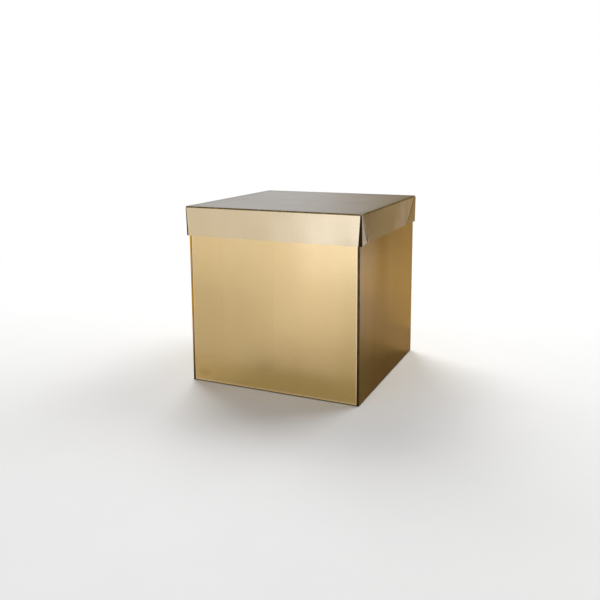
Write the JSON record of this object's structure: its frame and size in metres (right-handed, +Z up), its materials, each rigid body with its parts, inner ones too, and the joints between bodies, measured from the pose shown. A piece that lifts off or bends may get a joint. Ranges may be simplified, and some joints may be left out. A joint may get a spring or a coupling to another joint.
{
  "type": "explosion gift box",
  "caption": "Cube-shaped gold foil gift box with bottom-hinged walls that stand inside the skirt of a lift-off folded card lid and fall open flat when it is removed.",
  "frame": {"origin": "centre of the underside, on the surface that the box stands on", "axes": "+Z up, -Y out of the front wall, +X out of the right wall"},
  "size_m": [0.2064, 0.2064, 0.2],
  "materials": {
    "gold_foil_paper": "metallised gold foil paper, glossy with a fine orange peel",
    "grey_board": "uncoated grey board",
    "lining_paper": "uncoated dark lining paper",
    "foil_card": "pale gold foil-laminated card, glossy"
  },
  "bodies": {
    "base": {"base_wrap": "gold_foil_paper", "base_board": "grey_board", "base_lining": "lining_paper"},
    "front_wall": {"front_wall_board": "grey_board", "front_wall_wrap": "gold_foil_paper", "front_wall_lining": "lining_paper"},
    "right_wall": {"right_wall_board": "grey_board", "right_wall_wrap": "gold_foil_paper", "right_wall_lining": "lining_paper"},
    "back_wall": {"back_wall_board": "grey_board", "back_wall_wrap": "gold_foil_paper", "back_wall_lining": "lining_paper"},
    "left_wall": {"left_wall_board": "grey_board", "left_wall_wrap": "gold_foil_paper", "left_wall_lining": "lining_paper"},
    "lid": {"lid_top": "foil_card", "lid_front_skirt": "foil_card", "lid_back_skirt": "foil_card", "lid_left_flap": "foil_card", "lid_right_flap": "foil_card", "lid_front_left_tab": "foil_card", "lid_front_right_tab": "foil_card", "lid_back_left_tab": "foil_card", "lid_back_right_tab": "foil_card"}
  },
  "joints": [
    {"name": "lid_lift", "type": "slide", "parent": "base", "child": "lid", "axis": [0, 0, 1], "range_m": [0, 0.4]},
    {"name": "front_wall_drop", "type": "hinge", "parent": "base", "child": "front_wall", "pos_m": [0, -0.0992, 0.0008], "axis": [1, 0, 0], "range_deg": [0, 90]},
    {"name": "right_wall_drop", "type": "hinge", "parent": "base", "child": "right_wall", "pos_m": [0.0992, 0, 0.0008], "axis": [0, 1, 0], "range_deg": [0, 90]},
    {"name": "back_wall_drop", "type": "hinge", "parent": "base", "child": "back_wall", "pos_m": [0, 0.0992, 0.0008], "axis": [-1, 0, 0], "range_deg": [0, 90]},
    {"name": "left_wall_drop", "type": "hinge", "parent": "base", "child": "left_wall", "pos_m": [-0.0992, 0, 0.0008], "axis": [0, -1, 0], "range_deg": [0, 90]}
  ],
  "couplings": [
    {"joint": "front_wall_drop", "follows": "lid_lift", "rad_per_m": 3.9269},
    {"joint": "right_wall_drop", "follows": "lid_lift", "rad_per_m": 3.9269},
    {"joint": "back_wall_drop", "follows": "lid_lift", "rad_per_m": 3.9269},
    {"joint": "left_wall_drop", "follows": "lid_lift", "rad_per_m": 3.9269}
  ]
}
